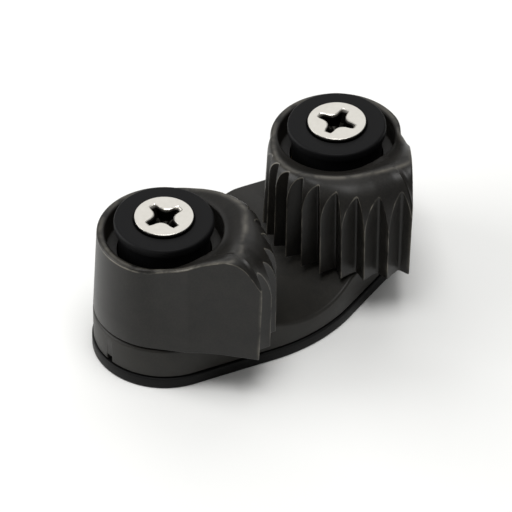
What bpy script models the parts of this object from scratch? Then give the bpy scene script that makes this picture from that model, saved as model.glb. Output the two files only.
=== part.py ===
"""Ball-bearing cam cleat: two sprung, fluted cams on an oval deck.

Metres, +Z up. The origin is the middle of the base's underside. +X runs along the two screw
axes, and +Y points to the loaded side of the line, so both cam noses point to -Y.
"""

import math

import bmesh
import bpy
from mathutils import Matrix, Vector

MM = 0.001

# ---- base ----
HOLE_SPACING = 38.1 * MM
DECK_MARGIN = 0.3 * MM
FLANK_ANGLE = math.radians(16.2)
FLANK_ROUND = 30.2 * MM
PLATE_THICKNESS = 2.0 * MM
DECK_THICKNESS = 5.7 * MM
DECK_INSET = 0.25 * MM
DECK_BEVEL = 0.45 * MM
ROPE_PATH_DEPTH = 2.0 * MM
ROPE_PATH_WIDTH = 18.0 * MM
PRY_NOTCH = 1.2 * MM

# ---- fits ----
GAP = 0.3 * MM
BALL_CLEARANCE = 0.2 * MM
BALL_SPACE = 0.32 * MM
SCREW_CLEARANCE = 0.3 * MM
CAM_CLEARANCE = 0.4 * MM
SPRING_CLEARANCE = 0.44 * MM

# ---- cam ----
CAM_HEIGHT = 15.8 * MM
HUB_WALL = 2.2 * MM
WALL_LEAN = 0.8 * MM
SPIRAL_GROWTH = 0.287
TOOTH_START = math.radians(40.0)
BACK_ANGLE = math.radians(-142.0)
NOSE_ANGLE = math.radians(-83.6)
TOOTH_COUNT = 9
TOOTH_STEP = math.radians(10.3)
TOOTH_STEP_GROWTH = math.radians(0.15)
TOOTH_DEPTH = 2.9 * MM
ROOT_PLACE = 0.2
NOSE_FLUTE_SHARE = 0.65
FULL_FLUTE = 4
LAST_FLUTE_SHARE = 0.8
MOAT_WIDTH = 1.5 * MM
RECESS_DEPTH = 4.0 * MM
RIDGE_RISE = 5.1 * MM
BOWL_LIFT = 0.2
NOSE_DROP = 7.2 * MM
SHOULDER_POWER = 2.3

# ---- bearing ----
BALL_RADIUS = 1.5875 * MM
BALL_COUNT = 11
KEEPER_THICKNESS = 0.6 * MM
RACE_LAND = 0.8 * MM

# ---- hub post ----
CAP_LIP = 0.4 * MM
CAP_THICKNESS = 1.6 * MM
CAP_RISE = 2.6 * MM
CAP_EDGE = 0.35 * MM

# ---- screw, a number 10 or M5 flat head ----
SHANK_RADIUS = 2.4 * MM
HEAD_RADIUS = 4.95 * MM
HEAD_RIM = 0.4 * MM
HEAD_PROUD = 0.6 * MM
HEAD_SLOPE = math.radians(41.0)
SCREW_END_Z = 2.4 * MM
CROSS_REACH = 3.25 * MM
CROSS_WIDTH = 1.25 * MM
CROSS_DEPTH = 2.0 * MM
CROSS_HOLLOW = 1.3
CROSS_FLOOR_SHARE = 0.6
LEFT_CROSS_TURN = math.radians(-4.0)
RIGHT_CROSS_TURN = math.radians(22.0)

# ---- spring ----
WIRE_RADIUS = 0.55 * MM
SPRING_TURNS = 2.75
SPRING_LEG = 3.2 * MM
POCKET_FLOOR = 1.5 * MM

# ---- worked out from the sizes above ----
AXIS_X = HOLE_SPACING / 2
BALL_CIRCLE = (BALL_RADIUS + BALL_SPACE / 2) / math.sin(math.pi / BALL_COUNT)
RACE_RADIUS = BALL_CIRCLE + BALL_RADIUS + BALL_CLEARANCE
RACE_GROOVE = BALL_RADIUS + BALL_CLEARANCE
POST_RADIUS = BALL_CIRCLE - RACE_GROOVE + RACE_LAND
SPRING_RADIUS = POST_RADIUS + SPRING_CLEARANCE + WIRE_RADIUS
SCREW_HOLE = SHANK_RADIUS + SCREW_CLEARANCE
CAP_RADIUS = RACE_RADIUS + CAP_LIP
RECESS_RADIUS = CAP_RADIUS + MOAT_WIDTH
HUB_RADIUS = RECESS_RADIUS + HUB_WALL
BASE_END_RADIUS = HUB_RADIUS + DECK_MARGIN
FLANK_REACH = AXIS_X * math.sin(FLANK_ANGLE) + BASE_END_RADIUS
BASE_HALF_WIDTH = (
    (FLANK_REACH - FLANK_ROUND * (1 - math.cos(FLANK_ANGLE))) / math.cos(FLANK_ANGLE)
)
DECK_BOTTOM = PLATE_THICKNESS + GAP
DECK_TOP = DECK_BOTTOM + DECK_THICKNESS
CAM_FLOOR = DECK_TOP + CAM_CLEARANCE
RIM_Z = CAM_FLOOR + CAM_HEIGHT
POCKET_Z = DECK_BOTTOM + POCKET_FLOOR
CAP_TOP = RIM_Z + CAP_RISE
CAP_UNDER = CAP_TOP - CAP_THICKNESS
HEAD_TOP = CAP_TOP + HEAD_PROUD
SPRING_Z = POCKET_Z + GAP + WIRE_RADIUS
SPRING_TOP_Z = CAM_FLOOR + WIRE_RADIUS + GAP / 2
LEG_SLOT = WIRE_RADIUS + GAP
LEG_REACH = SPRING_RADIUS + SPRING_LEG
KEEPER_Z = SPRING_TOP_Z + WIRE_RADIUS + GAP
LOWER_ROW_Z = KEEPER_Z + KEEPER_THICKNESS + BALL_CLEARANCE + BALL_RADIUS
RECESS_FLOOR = RIM_Z - RECESS_DEPTH
UPPER_ROW_Z = RECESS_FLOOR - BALL_CLEARANCE - BALL_RADIUS


# ---- helpers ----

def clear_scene():
    for obj in list(bpy.data.objects):
        bpy.data.objects.remove(obj, do_unlink=True)


def material(name, colour, roughness, metallic=0.0):
    mat = bpy.data.materials.new(name)
    mat.use_nodes = True
    shader = mat.node_tree.nodes["Principled BSDF"]
    shader.inputs["Base Color"].default_value = (*colour, 1.0)
    shader.inputs["Roughness"].default_value = roughness
    shader.inputs["Metallic"].default_value = metallic
    return mat


def add_object(name, mesh, mat, place=(0.0, 0.0, 0.0), turn=0.0, smooth_angle=35.0):
    obj = bpy.data.objects.new(name, mesh)
    obj.location = place
    obj.rotation_euler = (0.0, 0.0, turn)
    if mat is not None:
        mesh.materials.append(mat)
        mesh.shade_smooth()
        mesh.set_sharp_from_angle(angle=math.radians(smooth_angle))
    bpy.context.collection.objects.link(obj)
    return obj


def mesh_from_bmesh(name, bm):
    bmesh.ops.recalc_face_normals(bm, faces=bm.faces)
    mesh = bpy.data.meshes.new(name)
    bm.to_mesh(mesh)
    bm.free()
    return mesh


def cut(obj, cutter):
    cutter.hide_render = True
    cutter.display_type = "WIRE"
    boolean = obj.modifiers.new("cut_" + cutter.name, "BOOLEAN")
    boolean.operation = "DIFFERENCE"
    boolean.solver = "EXACT"
    boolean.object = cutter


def ring_mesh(name, sections):
    """A closed ring through equal loops of points; each section is one loop."""
    bm = bmesh.new()
    loops = [[bm.verts.new(point) for point in section] for section in sections]
    for here, there in zip(loops, loops[1:] + loops[:1]):
        for k in range(len(here)):
            nxt = (k + 1) % len(here)
            bm.faces.new((here[k], here[nxt], there[nxt], there[k]))
    return mesh_from_bmesh(name, bm)


def turned_mesh(name, profile, steps=28):
    """Turn a closed profile of (radius, z) points about Z."""
    sections = []
    for i in range(steps):
        angle = math.tau * i / steps
        sections.append([(r * math.cos(angle), r * math.sin(angle), z) for r, z in profile])
    return ring_mesh(name, sections)


def solid_turned_mesh(name, profile, steps=28):
    """Turn an open profile that starts and ends on the axis."""
    bm = bmesh.new()
    bottom = bm.verts.new((0.0, 0.0, profile[0][1]))
    top = bm.verts.new((0.0, 0.0, profile[-1][1]))
    rings = []
    for r, z in profile[1:-1]:
        angles = [math.tau * i / steps for i in range(steps)]
        rings.append([bm.verts.new((r * math.cos(a), r * math.sin(a), z)) for a in angles])
    for i in range(steps):
        j = (i + 1) % steps
        bm.faces.new((bottom, rings[0][j], rings[0][i]))
        bm.faces.new((top, rings[-1][i], rings[-1][j]))
        for low, high in zip(rings, rings[1:]):
            bm.faces.new((low[i], low[j], high[j], high[i]))
    return mesh_from_bmesh(name, bm)


def prism_mesh(name, outline, z_low, z_high):
    bm = bmesh.new()
    low = [bm.verts.new((x, y, z_low)) for x, y in outline]
    high = [bm.verts.new((x, y, z_high)) for x, y in outline]
    bm.faces.new(low[::-1])
    bm.faces.new(high)
    for k in range(len(outline)):
        nxt = (k + 1) % len(outline)
        bm.faces.new((low[k], low[nxt], high[nxt], high[k]))
    return mesh_from_bmesh(name, bm)


def cylinder_cutter(name, radius, z_low, z_high, place=(0.0, 0.0), steps=28):
    outline = [
        (place[0] + radius * math.cos(math.tau * i / steps),
         place[1] + radius * math.sin(math.tau * i / steps))
        for i in range(steps)
    ]
    return add_object(name, prism_mesh(name, outline, z_low, z_high), None)


def box_cutter(name, low, high, place=(0.0, 0.0, 0.0), turn=0.0):
    outline = [(low[0], low[1]), (high[0], low[1]), (high[0], high[1]), (low[0], high[1])]
    return add_object(name, prism_mesh(name, outline, low[2], high[2]), None, place, turn)


def arc(centre, radius, start, end, steps):
    """Points of an arc in a plane, both ends included."""
    points = []
    for i in range(steps + 1):
        angle = start + (end - start) * i / steps
        points.append((centre[0] + radius * math.cos(angle), centre[1] + radius * math.sin(angle)))
    return points


# ---- base ----

def base_outline(inset):
    """Pointed oval: round ends, straight flanks and a large arc at the middle of each side."""
    middle_y = BASE_HALF_WIDTH - FLANK_ROUND
    lean = math.pi / 2 - FLANK_ANGLE
    right = arc((AXIS_X, 0.0), BASE_END_RADIUS - inset, -lean, lean, 16)
    top = arc((0.0, middle_y), FLANK_ROUND - inset, lean, math.pi - lean, 6)
    left = arc((-AXIS_X, 0.0), BASE_END_RADIUS - inset, math.pi - lean, math.pi + lean, 16)
    bottom = arc((0.0, -middle_y), FLANK_ROUND - inset, math.pi + lean, math.tau - lean, 6)
    return right + top + left + bottom


def bevelled_prism(name, inset, z_low, z_high, bevel):
    """The base outline as a solid whose upper edge is rounded."""
    sections = [(inset, z_low)]
    for r, z in arc((0.0, 0.0), bevel, 0.0, math.pi / 2, 3):
        sections.append((inset + bevel - r, z_high - bevel + z))
    bm = bmesh.new()
    loops = [[bm.verts.new((x, y, z)) for x, y in base_outline(d)] for d, z in sections]
    bm.faces.new(loops[0][::-1])
    bm.faces.new(loops[-1])
    for low, high in zip(loops, loops[1:]):
        for k in range(len(low)):
            nxt = (k + 1) % len(low)
            bm.faces.new((low[k], low[nxt], high[nxt], high[k]))
    return mesh_from_bmesh(name, bm)


def make_bottom_plate(mat):
    mesh = bevelled_prism("bottom_plate", 0.0, 0.0, PLATE_THICKNESS, GAP / 2)
    plate = add_object("bottom_plate", mesh, mat)
    for side in (-1, 1):
        hole = cylinder_cutter(f"plate_hole_{side}", SCREW_HOLE, -GAP, PLATE_THICKNESS + GAP,
                               (side * AXIS_X, 0.0))
        cut(plate, hole)


def make_base_body(mat):
    mesh = bevelled_prism("base_body", DECK_INSET, DECK_BOTTOM, DECK_TOP, DECK_BEVEL)
    body = add_object("base_body", mesh, mat)
    for side in (-1, 1):
        axis = side * AXIS_X
        cut(body, cylinder_cutter(f"spring_pocket_{side}", RACE_RADIUS, POCKET_Z, DECK_TOP + GAP,
                                  (axis, 0.0)))
        cut(body, cylinder_cutter(f"deck_hole_{side}", SCREW_HOLE, DECK_BOTTOM - GAP,
                                  POCKET_Z + GAP, (axis, 0.0)))
        cut(body, box_cutter(f"leg_slot_{side}", (SPRING_RADIUS, -LEG_SLOT, POCKET_Z),
                             (LEG_REACH + GAP, LEG_SLOT, DECK_TOP + GAP),
                             (axis, 0.0, 0.0), math.pi / 2))
        end = side * (AXIS_X + BASE_END_RADIUS)
        cut(body, box_cutter(f"pry_notch_{side}",
                             (end - PRY_NOTCH, -PRY_NOTCH / 2, DECK_BOTTOM - GAP),
                             (end + PRY_NOTCH, PRY_NOTCH / 2, DECK_BOTTOM + PRY_NOTCH)))
    cut(body, rope_path_cutter())


def rope_path_cutter():
    """A shallow round trough along Y, lowest at the middle of the deck."""
    half = ROPE_PATH_WIDTH / 2
    radius = (half ** 2 + ROPE_PATH_DEPTH ** 2) / (2 * ROPE_PATH_DEPTH)
    centre_z = DECK_TOP - ROPE_PATH_DEPTH + radius
    spread = math.asin(half / radius) * 1.3
    outline = arc((0.0, centre_z), radius, -math.pi / 2 - spread, -math.pi / 2 + spread, 12)
    reach = BASE_HALF_WIDTH + GAP
    bm = bmesh.new()
    ends = [[bm.verts.new((x, y, z)) for x, z in outline] for y in (-reach, reach)]
    for k in range(len(outline)):
        nxt = (k + 1) % len(outline)
        bm.faces.new((ends[0][k], ends[0][nxt], ends[1][nxt], ends[1][k]))
    bm.faces.new(ends[0][::-1])
    bm.faces.new(ends[1])
    return add_object("rope_path", mesh_from_bmesh("rope_path", bm), None)


# ---- cam ----

def spiral(angle):
    """Radius of the smooth curve through the tooth tips, at the cam's floor."""
    return HUB_RADIUS * math.exp(SPIRAL_GROWTH * (TOOTH_START - angle))


def plain_radius(angle):
    """Outline of the cam without its flutes, for an angle from -142 to +218 degrees."""
    if angle < NOSE_ANGLE:
        return HUB_RADIUS / math.cos(angle - BACK_ANGLE)
    if angle < TOOTH_START:
        return spiral(angle)
    return HUB_RADIUS


def tooth_angle(k):
    """Angle of a tooth tip: the steps grow a little from the nose to the hub."""
    return NOSE_ANGLE + k * TOOTH_STEP + k * k * TOOTH_STEP_GROWTH


def flute_depth(k):
    """Full depth along the middle, shallower at the thin nose and for the last flute."""
    if k == TOOTH_COUNT - 1:
        return TOOTH_DEPTH * LAST_FLUTE_SHARE
    return TOOTH_DEPTH * between(NOSE_FLUTE_SHARE, 1.0, min(1.0, k / FULL_FLUTE))


def flute_points():
    """Tips and roots of the fluted side, from the nose to the hub, as (angle, radius)."""
    points = []
    for k in range(TOOTH_COUNT):
        tip = tooth_angle(k)
        root = between(tip, tooth_angle(k + 1), ROOT_PLACE)
        points.append((tip, spiral(tip)))
        points.append((root, spiral(root) - flute_depth(k)))
    last = tooth_angle(TOOTH_COUNT)
    points.append((last, spiral(last)))
    return points


def between(low, high, share):
    return low + (high - low) * share


def outline_samples():
    """Angle and radius of every column of the cam's mesh, once round."""
    samples = []
    for share in range(9):
        angle = between(BACK_ANGLE, math.radians(-96.0), share / 9)
        samples.append((angle, plain_radius(angle)))
    for share in range(8):
        angle = between(math.radians(-96.0), NOSE_ANGLE, share / 8)
        samples.append((angle, plain_radius(angle)))
    corners = flute_points()
    for (a0, r0), (a1, r1) in zip(corners, corners[1:]):
        samples.append((a0, r0))
        middle = Vector((math.cos(a0), math.sin(a0))) * r0
        middle += Vector((math.cos(a1), math.sin(a1))) * r1
        samples.append(((a0 + a1) / 2, middle.length / 2))
    samples.append(corners[-1])
    samples.append((TOOTH_START, HUB_RADIUS))
    for step in range(1, 18):
        samples.append((between(TOOTH_START, BACK_ANGLE + math.tau, step / 18), HUB_RADIUS))
    return samples


# Round the cam: angle, where the crest lies between recess and outline, how far the crest rises
# above the rim as a share of the ridge, how far the outer edge drops below the rim as a share of
# the nose's drop, the wall's lean (+1 leans out towards the top, -1 leans in), and the share of
# a flute's depth that is left at the top of the wall.
CAM_STATIONS = (
    (-142.0, 0.55, 0.04, 0.06, -1.5, 1.0),
    (-120.0, 0.84, 0.32, -0.20, -0.5, 1.0),
    (-105.0, 0.94, 0.76, -0.52, 0.6, 1.0),
    (-95.0, 0.95, 1.00, -0.72, 1.0, 1.0),
    (-91.0, 0.84, 0.98, -0.60, 1.0, 1.0),
    (-88.0, 0.70, 0.93, -0.32, 1.0, 1.0),
    (-85.5, 0.58, 0.86, 0.30, 1.0, 1.0),
    (-83.6, 0.56, 0.90, 1.00, 0.9, 1.0),
    (-80.0, 0.55, 0.86, 1.00, 0.6, 1.0),
    (-70.0, 0.45, 0.62, 1.00, 0.3, 1.0),
    (-60.0, 0.40, 0.47, 0.96, 0.1, 1.0),
    (-38.0, 0.45, 0.36, 0.84, -0.3, 0.9),
    (-25.0, 0.60, 0.38, 0.80, -0.4, 0.7),
    (-10.0, 0.65, 0.265, 0.67, -0.55, 0.5),
    (8.0, 0.62, 0.16, 0.52, -0.75, 0.4),
    (26.0, 0.52, 0.075, 0.30, -0.97, 0.4),
    (45.0, 0.55, 0.04, 0.06, -1.0, 1.0),
    (200.0, 0.55, 0.04, 0.03, -1.0, 1.0),
    (218.0, 0.55, 0.04, 0.06, -1.5, 1.0),
)


def cam_station(angle):
    """The station values at an angle, between the two nearest stations."""
    degrees = math.degrees(angle)
    for low, high in zip(CAM_STATIONS, CAM_STATIONS[1:]):
        if degrees <= high[0]:
            share = max(0.0, (degrees - low[0]) / (high[0] - low[0]))
            return [between(a, b, share) for a, b in zip(low[1:], high[1:])]
    return list(CAM_STATIONS[-1][1:])


def floor_radius(angle, radius):
    return radius - max(0.0, cam_station(angle)[3]) * WALL_LEAN


def top_radius(angle, radius):
    lean, flute_share = cam_station(angle)[3:]
    plain = plain_radius(angle)
    return plain - flute_share * (plain - radius) + min(0.0, lean) * WALL_LEAN


def crest_radius(angle):
    return between(RECESS_RADIUS, top_radius(angle, plain_radius(angle)), cam_station(angle)[0])


def top_height(angle, radius):
    """Height of the cam's top: a bowl round the recess, a crest, then a rounded shoulder."""
    rise, drop = cam_station(angle)[1:3]
    outer = top_radius(angle, plain_radius(angle))
    crest_r = crest_radius(angle)
    crest_z = RIM_Z + rise * RIDGE_RISE
    inner_z = RIM_Z + BOWL_LIFT * rise * RIDGE_RISE
    edge_z = RIM_Z - drop * NOSE_DROP
    if radius <= crest_r:
        share = (radius - RECESS_RADIUS) / (crest_r - RECESS_RADIUS)
        return between(inner_z, crest_z, share * share * (3 - 2 * share))
    share = min(1.0, (radius - crest_r) / (outer - crest_r))
    return edge_z + (crest_z - edge_z) * (1 - share ** SHOULDER_POWER) ** (1 / SHOULDER_POWER)


def cam_section(angle, radius):
    """One loop of the cam at an angle: up the outside, over the top, and down the bore."""
    top_r = top_radius(angle, radius)
    crest_r = min(crest_radius(angle), between(RECESS_RADIUS, top_r, 0.95))
    loop = [(floor_radius(angle, radius), CAM_FLOOR)]
    for share in (1.0, 0.93, 0.8, 0.6, 0.35, 0.0):
        r = between(crest_r, top_r, share)
        loop.append((r, top_height(angle, r)))
    r = between(RECESS_RADIUS, crest_r, 0.5)
    loop.append((r, top_height(angle, r)))
    loop.append((RECESS_RADIUS, top_height(angle, RECESS_RADIUS)))
    loop.append((RECESS_RADIUS, RECESS_FLOOR))
    loop.append((RACE_RADIUS, RECESS_FLOOR))
    loop += [(BALL_CIRCLE + x, UPPER_ROW_Z + z) for x, z in race_arc(-1)]
    loop += [(BALL_CIRCLE + x, LOWER_ROW_Z + z) for x, z in race_arc(1)]
    loop.append((RACE_RADIUS, CAM_FLOOR))
    return [(r * math.cos(angle), r * math.sin(angle), z) for r, z in loop]


def race_arc(side):
    """The quarter of a ball groove that runs into the land between the two rows."""
    reach = math.acos((RACE_GROOVE - RACE_LAND) / RACE_GROOVE)
    points = arc((0.0, 0.0), RACE_GROOVE, 0.0, side * reach, 3)
    return points if side < 0 else points[::-1]


def make_cam(name, side, mat):
    """side is -1 for the left cam and +1 for the right one, its mirror image."""
    sections = [cam_section(angle, radius) for angle, radius in outline_samples()]
    if side > 0:
        sections = [[(-x, y, z) for x, y, z in section] for section in sections[::-1]]
    cam = add_object(name, ring_mesh(name, sections), mat, (side * AXIS_X, 0.0, 0.0))
    slot = box_cutter(f"cam_leg_slot_{side}", (SPRING_RADIUS, -LEG_SLOT, CAM_FLOOR - GAP),
                      (LEG_REACH + GAP, LEG_SLOT, SPRING_TOP_Z + LEG_SLOT),
                      (side * AXIS_X, 0.0, 0.0), leg_angle(side))
    cut(cam, slot)


# ---- bearing ----

def make_hub(name, side, mat):
    """The fixed post: a groove for each ball row, a flanged cap and a countersunk hole."""
    foot = POCKET_Z + GAP
    sink = HEAD_RADIUS + SCREW_CLEARANCE
    sink_floor = CAP_TOP - (sink - SCREW_HOLE) / math.tan(HEAD_SLOPE)
    reach = math.acos((RACE_GROOVE - RACE_LAND) / RACE_GROOVE)
    profile = [(SCREW_HOLE, foot), (POST_RADIUS, foot)]
    for row in (LOWER_ROW_Z, UPPER_ROW_Z):
        groove = arc((BALL_CIRCLE, row), RACE_GROOVE, math.pi + reach, math.pi - reach, 4)
        profile += groove
    boss = RACE_RADIUS - GAP
    boss_z = UPPER_ROW_Z + BALL_RADIUS + BALL_CLEARANCE
    profile += [(POST_RADIUS, boss_z), (boss, boss_z), (boss, CAP_UNDER)]
    profile += [(CAP_RADIUS - CAP_EDGE, CAP_UNDER)]
    profile += [(CAP_RADIUS, CAP_UNDER + CAP_EDGE)]
    profile += arc((CAP_RADIUS - CAP_EDGE, CAP_TOP - CAP_EDGE), CAP_EDGE, 0.0, math.pi / 2, 3)
    profile += [(sink, CAP_TOP), (SCREW_HOLE, sink_floor)]
    add_object(name, turned_mesh(name, profile, 32), mat, (side * AXIS_X, 0.0, 0.0))


def make_balls(prefix, side, mat):
    bm = bmesh.new()
    bmesh.ops.create_icosphere(bm, subdivisions=1, radius=BALL_RADIUS)
    mesh = mesh_from_bmesh(prefix + "_ball", bm)
    mesh.materials.append(mat)
    mesh.shade_smooth()
    for row, z in (("lower", LOWER_ROW_Z), ("upper", UPPER_ROW_Z)):
        for k in range(BALL_COUNT):
            angle = math.tau * k / BALL_COUNT
            ball = bpy.data.objects.new(f"{prefix}_{row}_ball_{k + 1:02d}", mesh)
            ball.location = (side * AXIS_X + BALL_CIRCLE * math.cos(angle),
                             BALL_CIRCLE * math.sin(angle), z)
            bpy.context.collection.objects.link(ball)


def make_keeper(name, side, mat):
    inner = POST_RADIUS + GAP
    outer = RACE_RADIUS - GAP
    profile = [(inner, KEEPER_Z), (outer, KEEPER_Z), (outer, KEEPER_Z + KEEPER_THICKNESS),
               (inner, KEEPER_Z + KEEPER_THICKNESS)]
    add_object(name, turned_mesh(name, profile, 24), mat, (side * AXIS_X, 0.0, 0.0))


# ---- spring ----

def leg_angle(side):
    """Direction of the spring's upper leg: it starts over the lower one, at +Y."""
    return math.pi / 2 + side * SPRING_TURNS * math.tau


def make_spring(name, side, mat):
    """A torsion spring: a leg out, the coil, and a leg out at the top."""
    steps = round(SPRING_TURNS * 18)
    start = math.pi / 2
    end = leg_angle(side)
    path = []
    path.append(Vector((math.cos(start) * LEG_REACH, math.sin(start) * LEG_REACH, SPRING_Z)))
    for i in range(steps + 1):
        angle = between(start, end, i / steps)
        z = between(SPRING_Z, SPRING_TOP_Z, i / steps)
        path.append(Vector((SPRING_RADIUS * math.cos(angle), SPRING_RADIUS * math.sin(angle), z)))
    path.append(Vector((math.cos(end) * LEG_REACH, math.sin(end) * LEG_REACH, SPRING_TOP_Z)))
    curve = bpy.data.curves.new(name, "CURVE")
    curve.dimensions = "3D"
    spline = curve.splines.new("POLY")
    spline.points.add(len(path) - 1)
    for point, place in zip(spline.points, path):
        point.co = (*place, 1.0)
    curve.bevel_depth = WIRE_RADIUS
    curve.bevel_resolution = 1
    curve.use_fill_caps = True
    curve.materials.append(mat)
    spring = bpy.data.objects.new(name, curve)
    spring.location = (side * AXIS_X, 0.0, 0.0)
    bpy.context.collection.objects.link(spring)


# ---- screw ----

def cross_outline():
    """A Phillips recess in plan: four arms with hollow corners between them."""
    half = CROSS_WIDTH / 2
    points = []
    for quarter in range(4):
        turn = Matrix.Rotation(quarter * math.pi / 2, 2)
        near = half * CROSS_HOLLOW
        far = CROSS_WIDTH * CROSS_HOLLOW
        for x, y in ((CROSS_REACH, -half), (CROSS_REACH, half), (far, near), (near, far)):
            points.append(turn @ Vector((x, y)))
    return [(p.x, p.y) for p in points]


def make_screw(name, side, turn, mat):
    cone_z = HEAD_TOP - HEAD_RIM
    neck_z = cone_z - (HEAD_RADIUS - SHANK_RADIUS) / math.tan(HEAD_SLOPE)
    profile = [(0.0, SCREW_END_Z), (SHANK_RADIUS - GAP, SCREW_END_Z),
               (SHANK_RADIUS, SCREW_END_Z + GAP),
               (SHANK_RADIUS, neck_z), (HEAD_RADIUS, cone_z), (HEAD_RADIUS, HEAD_TOP - HEAD_RIM / 2),
               (HEAD_RADIUS - HEAD_RIM / 2, HEAD_TOP), (0.0, HEAD_TOP)]
    place = (side * AXIS_X, 0.0, 0.0)
    screw = add_object(name, solid_turned_mesh(name, profile, 28), mat, place)
    outline = cross_outline()
    floor_z = HEAD_TOP - CROSS_DEPTH
    bm = bmesh.new()
    low = [bm.verts.new((x * CROSS_FLOOR_SHARE, y * CROSS_FLOOR_SHARE, floor_z))
           for x, y in outline]
    high = [bm.verts.new((x, y, HEAD_TOP + GAP)) for x, y in outline]
    bm.faces.new(low[::-1])
    bm.faces.new(high)
    for k in range(len(outline)):
        nxt = (k + 1) % len(outline)
        bm.faces.new((low[k], low[nxt], high[nxt], high[k]))
    recess = add_object(name + "_recess", mesh_from_bmesh(name + "_recess", bm), None, place, turn)
    cut(screw, recess)


def main():
    clear_scene()
    nylon_grey = material("filled_nylon_grey", (0.046, 0.045, 0.042), 0.5)
    nylon_black = material("filled_nylon_black", (0.012, 0.012, 0.013), 0.5)
    hub_black = material("acetal_black", (0.022, 0.022, 0.024), 0.35)
    stainless = material("stainless_screw", (0.72, 0.70, 0.66), 0.3, 1.0)
    spring_steel = material("spring_wire", (0.5, 0.5, 0.5), 0.35, 1.0)
    bearing_plastic = material("bearing_plastic", (0.35, 0.28, 0.14), 0.4)
    washer_plastic = material("washer_acetal", (0.6, 0.6, 0.58), 0.45)
    make_bottom_plate(nylon_black)
    make_base_body(nylon_grey)
    for prefix, side, turn in (("left", -1, LEFT_CROSS_TURN), ("right", 1, RIGHT_CROSS_TURN)):
        make_cam(prefix + "_cam", side, nylon_grey)
        make_hub(prefix + "_hub", side, hub_black)
        make_balls(prefix, side, bearing_plastic)
        make_keeper(prefix + "_ball_keeper", side, washer_plastic)
        make_spring(prefix + "_spring", side, spring_steel)
        make_screw(prefix + "_screw", side, turn, stainless)


main()
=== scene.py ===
# %% [markdown]
# # A cam cleat for a rope
# A cam cleat grips a rope on a boat. Two fluted jaws, the cams, turn on fixed posts, and a
# spring under each one pushes its teeth against the rope. The more the rope pulls, the
# harder the cams hold. Everything sits on a low oval deck, which two countersunk screws
# hold down through the middle of the posts.
#
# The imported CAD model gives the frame: the places, the joints and the sizes. It is made for
# motion and for collision, so its curves are coarse. This script builds each part again
# with fine curves and rounded edges, gives it the finish of its real material, and hangs it
# on the same moving body.

# %% Load the frame
import math

import bmesh
import bpy
import numpy as np
from mathutils import Matrix, Vector


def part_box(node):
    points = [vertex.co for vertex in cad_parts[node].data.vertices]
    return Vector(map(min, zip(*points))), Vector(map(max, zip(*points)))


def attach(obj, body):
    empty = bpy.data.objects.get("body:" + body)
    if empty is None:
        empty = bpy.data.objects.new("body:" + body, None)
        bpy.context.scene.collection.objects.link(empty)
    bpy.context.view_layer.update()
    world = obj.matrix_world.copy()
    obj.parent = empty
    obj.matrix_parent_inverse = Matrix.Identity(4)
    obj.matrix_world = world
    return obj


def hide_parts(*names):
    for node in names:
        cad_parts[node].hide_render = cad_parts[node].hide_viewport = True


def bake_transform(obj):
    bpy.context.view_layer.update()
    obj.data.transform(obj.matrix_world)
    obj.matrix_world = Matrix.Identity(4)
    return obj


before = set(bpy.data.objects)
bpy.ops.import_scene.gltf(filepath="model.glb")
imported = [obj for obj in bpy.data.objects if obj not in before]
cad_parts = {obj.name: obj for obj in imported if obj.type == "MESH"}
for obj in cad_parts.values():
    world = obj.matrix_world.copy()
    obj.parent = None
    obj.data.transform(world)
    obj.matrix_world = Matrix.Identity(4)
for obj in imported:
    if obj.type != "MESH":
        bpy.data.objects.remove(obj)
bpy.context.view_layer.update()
MM = 0.001

# %% [markdown]
# ## Where things are
# Every place is read from the boxes of the CAD nodes, so a part can't drift from its CAD
# partner. The screws are round, so the middle of a screw's box is the axis of its cam.

# %% Read the places


def level(node, end):
    """Height of a node's lowest (end 0) or highest (end 1) point."""
    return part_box(node)[end].z


def axis_of(node):
    low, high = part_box(node)
    return Vector(((low.x + high.x) / 2, (low.y + high.y) / 2, 0.0))


SIDES = {"left": -1, "right": 1}
AXES = {name: axis_of(name + "_screw") for name in SIDES}
AXIS_X = AXES["right"].x
PLATE_TOP = level("bottom_plate", 1)
DECK_BOTTOM = level("base_body", 0)
DECK_TOP = level("base_body", 1)
CAM_FLOOR = level("left_cam", 0)
CAP_TOP = level("left_hub", 1)
POST_FOOT = level("left_hub", 0)
HEAD_TOP = level("left_screw", 1)
SCREW_END = level("left_screw", 0)
KEEPER_LOW = level("left_ball_keeper", 0)
KEEPER_HIGH = level("left_ball_keeper", 1)
LOWER_ROW = (level("left_lower_ball_01", 0) + level("left_lower_ball_01", 1)) / 2
UPPER_ROW = (level("left_upper_ball_01", 0) + level("left_upper_ball_01", 1)) / 2
print(f"screw axes {2 * AXIS_X / MM:.2f} mm apart, cams from {CAM_FLOOR / MM:.1f} mm up")

# %% [markdown]
# ## Small tools for shapes
# Nearly every part here is a set of equal loops of points with faces between them: a turned
# part is one profile repeated about its axis, and a cam is a profile that changes as it goes
# round. So one function that skins a row of loops builds them all. Moulded and turned parts
# never have knife edges, and the thin bright line along a rounded edge is much of what makes
# a render look real, so a second function rounds the corners of a profile before it is
# skinned.

# %% Shape tools


def between(low, high, share):
    return low + (high - low) * share


def bend(before, corner, after, steps=5):
    """A short curve that starts at before, heads for the corner, and ends at after."""
    curve = []
    for i in range(steps + 1):
        t = i / steps
        curve.append(before * (1 - t) ** 2 + corner * 2 * t * (1 - t) + after * t * t)
    return curve


def rounded(corners, closed=True, steps=5):
    """Replace each (x, y, cutback) corner by a curve that begins and ends cutback from it."""
    points = []
    count = len(corners)
    for i, (x, y, cutback) in enumerate(corners):
        here = Vector((x, y))
        if cutback == 0 or (not closed and i in (0, count - 1)):
            points.append(here)
            continue
        before = Vector(corners[i - 1][:2])
        after = Vector(corners[(i + 1) % count][:2])
        start = here + (before - here).normalized() * cutback
        end = here + (after - here).normalized() * cutback
        points += bend(start, here, end, steps)
    return points


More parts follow.
